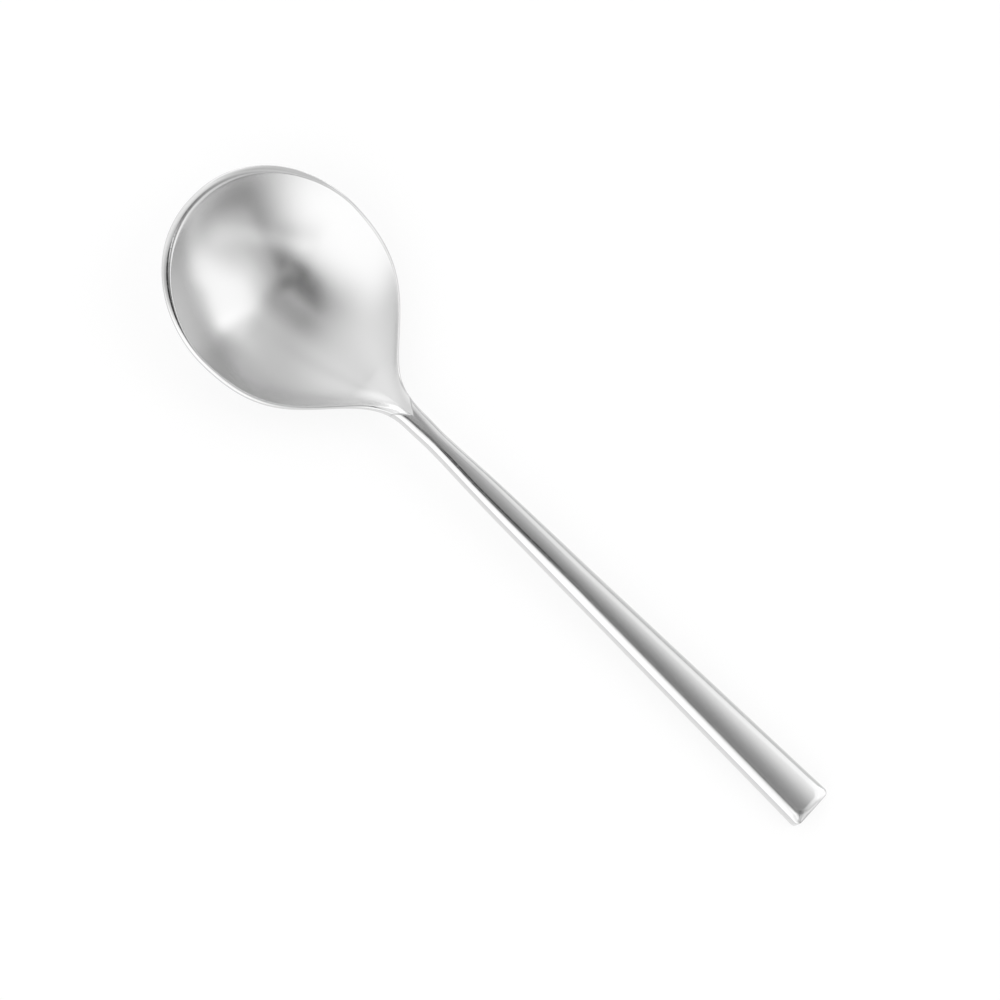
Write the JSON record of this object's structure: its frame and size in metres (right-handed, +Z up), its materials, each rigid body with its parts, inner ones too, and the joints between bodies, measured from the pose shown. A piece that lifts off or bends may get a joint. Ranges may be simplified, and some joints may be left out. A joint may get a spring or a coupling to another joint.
{
  "type": "soup spoon",
  "caption": "Soup spoon with a round, shallow satin bowl and a straight, thick hollow handle that widens to a square butt, welded together at the neck.",
  "frame": {"origin": "centre of the spoon's length and width, on the table that it rests on", "axes": "+X runs from the bowl to the butt of the handle, +Z points up out of the bowl, and +Y lies across, to the right when looking down with the handle towards the top"},
  "size_m": [0.18, 0.0472, 0.0156],
  "materials": {
    "bowl_steel": "satin inside, polished lip and back",
    "handle_steel": "satin top, polished edges",
    "cap_steel": "polished edges",
    "weld_steel": "ground flush and polished",
    "filling": "cast filling"
  },
  "bodies": {
    "root": {"bowl": "bowl_steel", "neck_weld": "weld_steel", "handle_upper_shell": "handle_steel", "handle_lower_shell": "handle_steel", "seam_weld_left": "weld_steel", "seam_weld_right": "weld_steel", "handle_core": "filling", "butt_weld": "weld_steel", "butt_cap": "cap_steel"}
  },
  "joints": []
}
